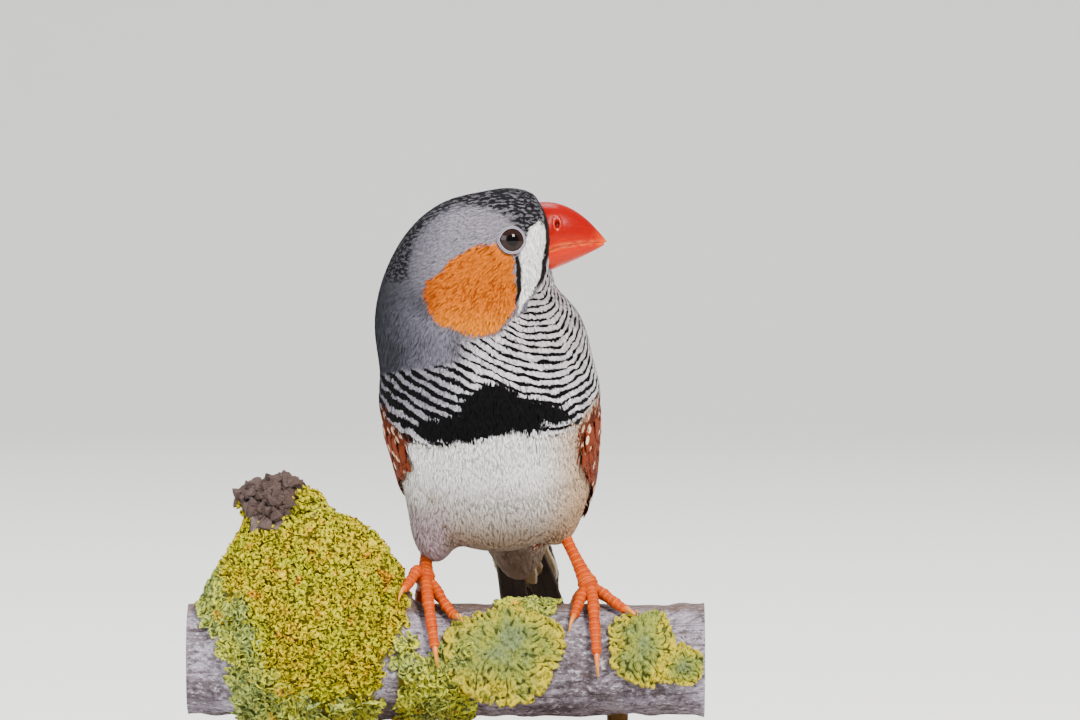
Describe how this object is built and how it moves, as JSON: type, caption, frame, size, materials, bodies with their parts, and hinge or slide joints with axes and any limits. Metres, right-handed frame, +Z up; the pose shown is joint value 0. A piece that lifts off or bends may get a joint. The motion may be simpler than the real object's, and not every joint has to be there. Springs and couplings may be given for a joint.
{
  "type": "male zebra finch on a perch",
  "caption": "Life-size male zebra finch with its head turned, gripping a short lichen-grown branch held up by a plain round display stand.",
  "frame": {"origin": "centre of the flat underside of the stand's round base, on the floor", "axes": "+Z up, -Y the way the breast faces, +X the bird's left, to which the head is turned"},
  "size_m": [0.088, 0.088, 0.0943],
  "materials": {
    "grey_plumage": "soft matte feathers",
    "white_plumage": "soft matte feathers",
    "brown_flight_feathers": "smooth matte vanes",
    "black_tail_feathers": "smooth matte vanes",
    "red_bill": "waxy horn",
    "eye": "wet gloss",
    "orange_leg_skin": "scaled skin",
    "claw_horn": "smooth horn",
    "bark": "rough bark with lichen",
    "stand_wood": "satin varnished wood",
    "stand_brass": "satin brass"
  },
  "bodies": {
    "root": {"head": "grey_plumage", "neck": "grey_plumage", "torso": "white_plumage", "thigh_right": "white_plumage", "thigh_left": "white_plumage", "wing_right": "brown_flight_feathers", "wing_left": "brown_flight_feathers", "tail": "black_tail_feathers", "bill_upper": "red_bill", "bill_lower": "red_bill", "eye_right": "eye", "eye_left": "eye", "shank_right": "orange_leg_skin", "shank_left": "orange_leg_skin", "foot_right": "orange_leg_skin", "foot_left": "orange_leg_skin", "claw_right_outer": "claw_horn", "claw_right_middle": "claw_horn", "claw_right_inner": "claw_horn", "claw_right_hallux": "claw_horn", "claw_left_outer": "claw_horn", "claw_left_middle": "claw_horn", "claw_left_inner": "claw_horn", "claw_left_hallux": "claw_horn", "perch": "bark", "stand_base": "stand_wood", "stand_rod_left": "stand_brass", "stand_rod_right": "stand_brass"}
  },
  "joints": []
}
